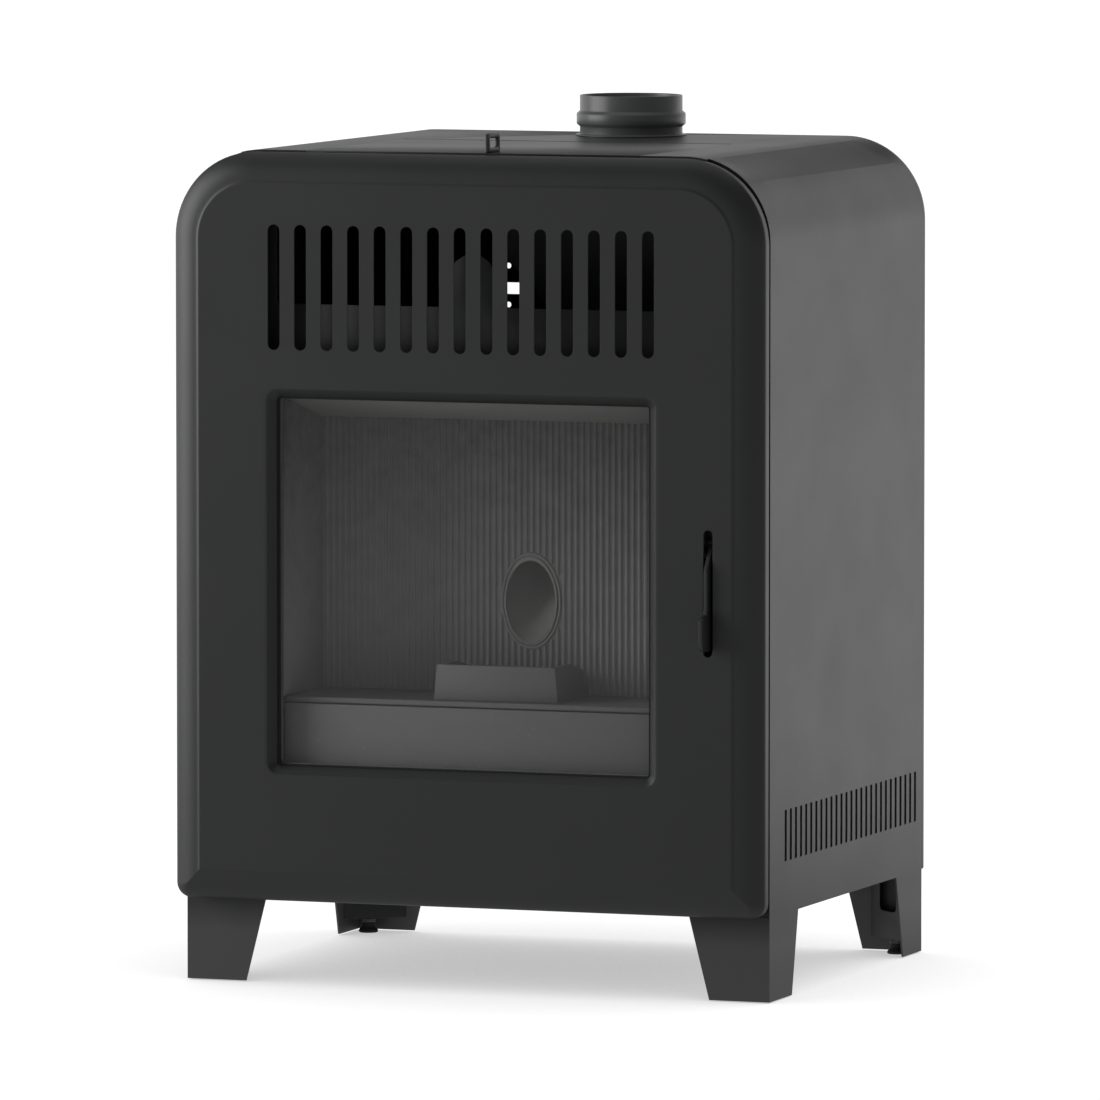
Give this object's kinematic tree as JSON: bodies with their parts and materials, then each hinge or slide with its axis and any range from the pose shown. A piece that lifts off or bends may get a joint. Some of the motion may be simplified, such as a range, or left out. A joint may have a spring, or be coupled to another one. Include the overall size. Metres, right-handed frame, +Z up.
{
  "type": "pellet stove",
  "caption": "Free-standing pellet stove: rounded sheet-steel body on sheet legs, full-height slotted door with a window, lever handle, roof lid and flue socket.",
  "frame": {"origin": "middle of the stove's bounding box, on the floor", "axes": "+X to the right seen from the front, +Y to the back, +Z up"},
  "size_m": [0.494, 0.4356, 0.696],
  "materials": {
    "powder_coated_steel": "satin",
    "cast_iron": "matte",
    "zinc_plated_steel": "satin",
    "black_plastic": "matte",
    "ceramic_glass": "gloss",
    "glass_fibre_seal": "matte",
    "circuit_board": "satin"
  },
  "bodies": {
    "chassis": {"right_side_panel": "powder_coated_steel", "left_side_panel": "powder_coated_steel", "front_frame": "powder_coated_steel", "rear_cover": "powder_coated_steel", "rear_top_cover": "powder_coated_steel", "front_left_leg_bracket": "powder_coated_steel", "rear_left_leg_bracket": "powder_coated_steel", "front_right_leg_bracket": "powder_coated_steel", "rear_right_leg_bracket": "powder_coated_steel", "flue_collar": "powder_coated_steel", "firebox_shell": "cast_iron", "ribbed_back_plate": "cast_iron", "left_side_plate": "cast_iron", "right_side_plate": "cast_iron", "baffle_plate": "cast_iron", "pot_shelf": "cast_iron", "heat_exchanger": "cast_iron", "auger_tube": "cast_iron", "pellet_chute": "cast_iron", "smoke_duct": "cast_iron", "exhaust_fan_housing": "cast_iron", "base_tray": "zinc_plated_steel", "air_guide_plate": "zinc_plated_steel", "lid_hinge_pin": "zinc_plated_steel", "upper_hinge_bracket": "zinc_plated_steel", "lower_hinge_bracket": "zinc_plated_steel", "latch_keeper": "zinc_plated_steel", "ash_drawer": "zinc_plated_steel", "igniter": "zinc_plated_steel", "air_intake_pipe": "zinc_plated_steel", "hopper": "zinc_plated_steel", "flue_pipe": "zinc_plated_steel", "room_fan_housing": "zinc_plated_steel", "front_left_foot": "black_plastic", "rear_left_foot": "black_plastic", "front_right_foot": "black_plastic", "rear_right_foot": "black_plastic", "auger_gearmotor": "black_plastic", "exhaust_motor": "black_plastic", "room_fan_motor": "black_plastic", "mains_inlet": "black_plastic", "pressure_switch": "black_plastic", "control_board": "circuit_board"},
    "door": {"door_panel": "powder_coated_steel", "door_inner_frame": "zinc_plated_steel", "door_glass": "ceramic_glass", "glass_seal": "glass_fibre_seal", "door_rope_seal": "glass_fibre_seal", "handle_pivot_pin": "zinc_plated_steel"},
    "handle": {"door_handle": "powder_coated_steel"},
    "lid": {"hopper_lid": "powder_coated_steel", "lid_pull": "powder_coated_steel"},
    "auger": {"auger_screw": "zinc_plated_steel"},
    "impeller": {"exhaust_impeller": "zinc_plated_steel"},
    "drum": {"room_fan_drum": "zinc_plated_steel"},
    "pot": {"burn_pot": "cast_iron"},
    "rocker": {"rocker_switch": "black_plastic"}
  },
  "joints": [
    {"name": "door_hinge", "type": "hinge", "parent": "chassis", "child": "door", "pos_m": [-0.243, -0.1752, 0], "axis": [0, 0, -1], "range_deg": [0, 95]},
    {"name": "handle_pivot", "type": "hinge", "parent": "door", "child": "handle", "pos_m": [0.2037, -0.1872, 0.352], "axis": [-1, 0, 0], "range_deg": [0, 40]},
    {"name": "lid_hinge", "type": "hinge", "parent": "chassis", "child": "lid", "pos_m": [0, 0.0378, 0.6604], "axis": [-1, 0, 0], "range_deg": [0, 95]},
    {"name": "auger_turn", "type": "hinge", "parent": "chassis", "child": "auger", "pos_m": [0, 0.0028, 0.434], "axis": [1, 0, 0], "continuous": true},
    {"name": "impeller_turn", "type": "hinge", "parent": "chassis", "child": "impeller", "pos_m": [-0.05, -0.1892, 0.18], "axis": [0, 1, 0], "continuous": true},
    {"name": "drum_turn", "type": "hinge", "parent": "chassis", "child": "drum", "pos_m": [0, -0.0142, 0.104], "axis": [1, 0, 0], "continuous": true},
    {"name": "pot_lift", "type": "slide", "parent": "chassis", "child": "pot", "axis": [0, 0, 1], "range_m": [0, 0.03]},
    {"name": "rocker_tip", "type": "hinge", "parent": "chassis", "child": "rocker", "pos_m": [0.204, 0.2078, 0.132], "axis": [-1, 0, 0], "range_deg": [0, 12]}
  ]
}
